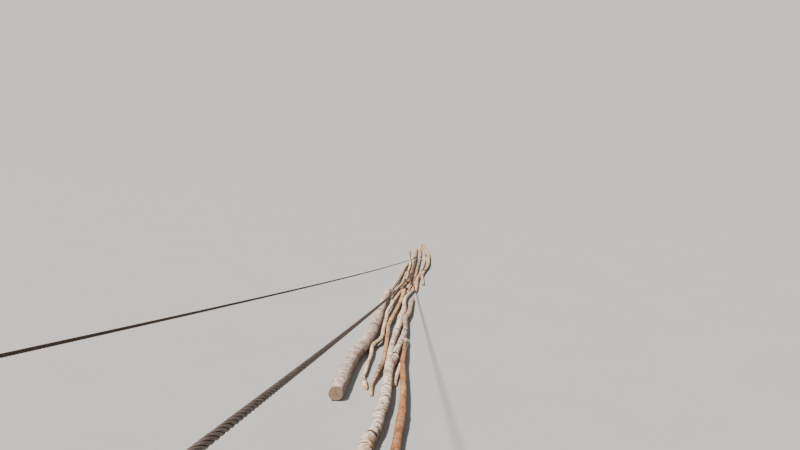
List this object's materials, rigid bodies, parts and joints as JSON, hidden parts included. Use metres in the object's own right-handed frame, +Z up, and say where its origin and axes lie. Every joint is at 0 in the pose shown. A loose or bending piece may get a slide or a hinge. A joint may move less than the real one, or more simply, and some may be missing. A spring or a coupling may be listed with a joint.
{
  "type": "pole footbridge",
  "caption": "Rough footbridge of crooked natural trunks and poles laid side by side in two overlapping spans, with a taut wire hand line on each side.",
  "frame": {"origin": "middle of the whole bridge with its hand lines, on the level of its bearings", "axes": "+Y along the bridge from the near bank to the far bank, +X to the right, +Z up"},
  "size_m": [2.2814, 18.2826, 2.563],
  "materials": {
    "grey_bark": "weathered grey bark with a lilac cast",
    "white_bark": "pale ringed bark with worn orange patches",
    "orange_wood": "debarked orange-brown wood, worn smooth",
    "cream_wood": "sun-bleached debarked wood",
    "tan_wood": "debarked tan wood with knots",
    "brown_bark": "brown bark, partly worn away",
    "pink_wood": "debarked pinkish wood",
    "yellow_wood": "debarked cream-yellow wood",
    "grey_wire": "weathered twisted wire",
    "rusty_wire": "dark rusty twisted wire",
    "fitting": "dull galvanised steel with rust"
  },
  "bodies": {
    "root": {"trunk_left": "grey_bark", "trunk_forked": "white_bark", "pole_orange": "orange_wood", "pole_short": "cream_wood", "pole_cream": "cream_wood", "pole_tan": "tan_wood", "far_pole_left": "cream_wood", "far_pole_pale": "pink_wood", "far_pole_brown": "brown_bark", "far_pole_tan": "tan_wood", "far_pole_thin": "pink_wood", "far_pole_short": "pink_wood", "far_pole_pink": "pink_wood", "far_pole_arched": "yellow_wood", "hand_line_right": "grey_wire", "thimble_right": "fitting", "clip_right_1": "fitting", "clip_right_2": "fitting", "clip_right_3": "fitting", "hand_line_left": "rusty_wire", "thimble_left": "fitting", "clip_left_1": "fitting", "clip_left_2": "fitting", "clip_left_3": "fitting"}
  },
  "joints": []
}
